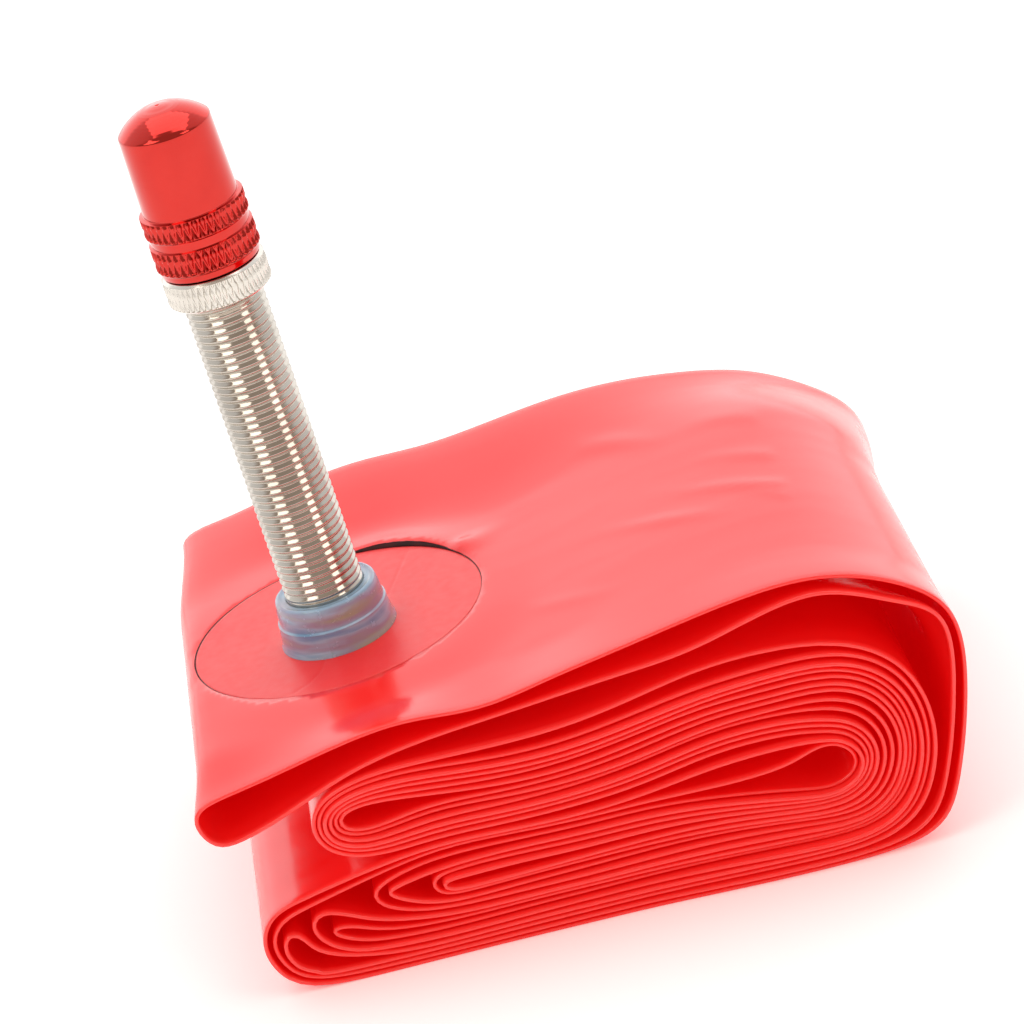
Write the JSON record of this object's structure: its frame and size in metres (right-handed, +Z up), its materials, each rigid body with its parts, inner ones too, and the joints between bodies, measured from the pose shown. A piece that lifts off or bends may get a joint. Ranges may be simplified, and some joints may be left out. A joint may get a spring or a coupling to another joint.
{
  "type": "inner tube",
  "caption": "Folded bicycle inner tube bundle with a standing presta valve, knurled rim nut and dust cap.",
  "frame": {"origin": "on the flat underside of the folded bundle, below the middle of the tube's width", "axes": "+X along the bundle away from the valve end, +Y across the flat tube, +Z up towards the valve cap"},
  "size_m": [0.0549, 0.043, 0.0601],
  "materials": {
    "tube_film": "glossy translucent film",
    "patch_film": "satin moulded film",
    "collar_plastic": "smoky translucent moulding",
    "nickel": "bright nickel plate",
    "brass": "turned brass",
    "seal_rubber": "matt black rubber",
    "red_anodised": "bright red anodised"
  },
  "bodies": {
    "root": {"tube": "tube_film", "valve_patch": "patch_film", "valve_collar": "collar_plastic", "valve_stem": "nickel", "core_body": "brass", "core_gasket": "seal_rubber"},
    "cap": {"dust_cap": "red_anodised"},
    "rim_nut": {"rim_nut": "nickel"},
    "lock_nut": {"core_lock_nut": "brass"},
    "pin": {"core_pin": "brass", "core_seal": "seal_rubber"}
  },
  "joints": [
    {"name": "cap_lift", "type": "slide", "parent": "root", "child": "cap", "axis": [-0.0715, 0, 0.9974], "range_m": [0, 0.016]},
    {"name": "rim_nut_travel", "type": "slide", "parent": "root", "child": "rim_nut", "axis": [-0.0715, 0, 0.9974], "range_m": [-0.0235, 0]},
    {"name": "lock_nut_travel", "type": "slide", "parent": "root", "child": "lock_nut", "axis": [-0.0715, 0, 0.9974], "range_m": [0, 0.0012]},
    {"name": "pin_press", "type": "slide", "parent": "root", "child": "pin", "axis": [-0.0715, 0, 0.9974], "range_m": [-0.0012, 0]}
  ]
}
